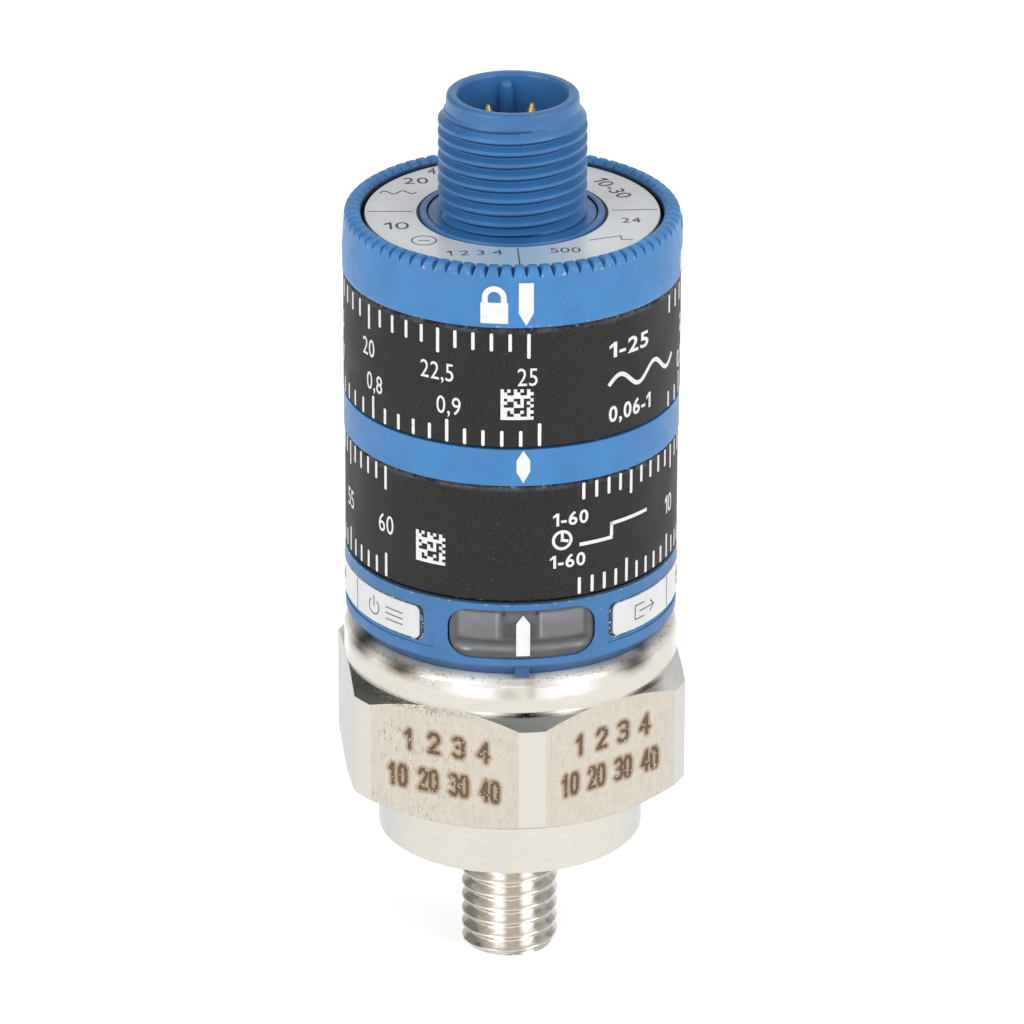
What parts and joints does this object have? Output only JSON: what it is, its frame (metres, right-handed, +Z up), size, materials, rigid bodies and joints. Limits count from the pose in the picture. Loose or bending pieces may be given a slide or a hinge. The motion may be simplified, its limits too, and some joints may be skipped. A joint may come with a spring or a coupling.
{
  "type": "vibration sensor",
  "caption": "Stud-mounted vibration sensor: hexagon steel base, housing with an indicator window, scaled setting rings, a locking ring and a keyed threaded plug on top.",
  "frame": {"origin": "centre of the flat seat face under the collar, on the axis of the sensor, where it meets the machine", "axes": "+Z up the axis from the seat to the plug; -Y through the pointer line on the front; +X to the right seen from the front"},
  "size_m": [0.0276, 0.03, 0.0747],
  "materials": {
    "steel": "turned and brushed, satin",
    "stud_steel": "bright rolled thread",
    "blue_plastic": "satin moulded",
    "light_blue_plastic": "satin moulded",
    "black_plastic": "fine matte grain",
    "smoked_clear": "clear, lightly smoked",
    "label_white": "printed film",
    "label_grey": "printed film",
    "gold_contact": "gold flash",
    "rubber": "moulded",
    "board": "solder mask",
    "chip": "moulded",
    "magnet_metal": "nickel plated",
    "led_green": "clear lens",
    "led_yellow": "clear lens",
    "screw_steel": "zinc plated"
  },
  "bodies": {
    "sensor": {"sensor_base": "steel", "mounting_stud": "stud_steel", "base_seal": "rubber", "core_housing": "blue_plastic", "indicator_window": "smoked_clear", "light_divider": "black_plastic", "indicator_label": "label_white", "delay_friction_ring": "rubber", "pointer_ring": "light_blue_plastic", "level_friction_ring": "rubber", "top_cap": "black_plastic", "cap_seal": "rubber", "top_label": "label_grey", "connector_body": "blue_plastic", "contact_carrier": "blue_plastic", "contact_pin_1": "gold_contact", "contact_pin_2": "gold_contact", "contact_pin_3": "gold_contact", "contact_pin_4": "gold_contact", "pin_board": "board", "main_board": "board", "sense_board": "board", "accelerometer_chip": "chip", "controller_chip": "chip", "led_green": "led_green", "led_yellow": "led_yellow", "level_hall_sensor": "chip", "delay_hall_sensor": "chip", "board_screw_1": "screw_steel", "board_screw_2": "screw_steel"},
    "delay_setting": {"delay_ring": "black_plastic", "delay_magnet": "magnet_metal"},
    "level_setting": {"level_ring": "black_plastic", "level_magnet": "magnet_metal"},
    "locking": {"lock_ring": "light_blue_plastic"}
  },
  "joints": [
    {"name": "delay_turn", "type": "hinge", "parent": "sensor", "child": "delay_setting", "pos_m": [0, 0, 0.0304], "axis": [0, 0, 1], "range_deg": [-307, 0]},
    {"name": "level_turn", "type": "hinge", "parent": "sensor", "child": "level_setting", "pos_m": [0, 0, 0.0438], "axis": [0, 0, 1], "range_deg": [0, 299]},
    {"name": "lock_turn", "type": "hinge", "parent": "sensor", "child": "locking", "pos_m": [0, 0, 0.0515], "axis": [0, 0, 1], "range_deg": [-90, 0]}
  ]
}
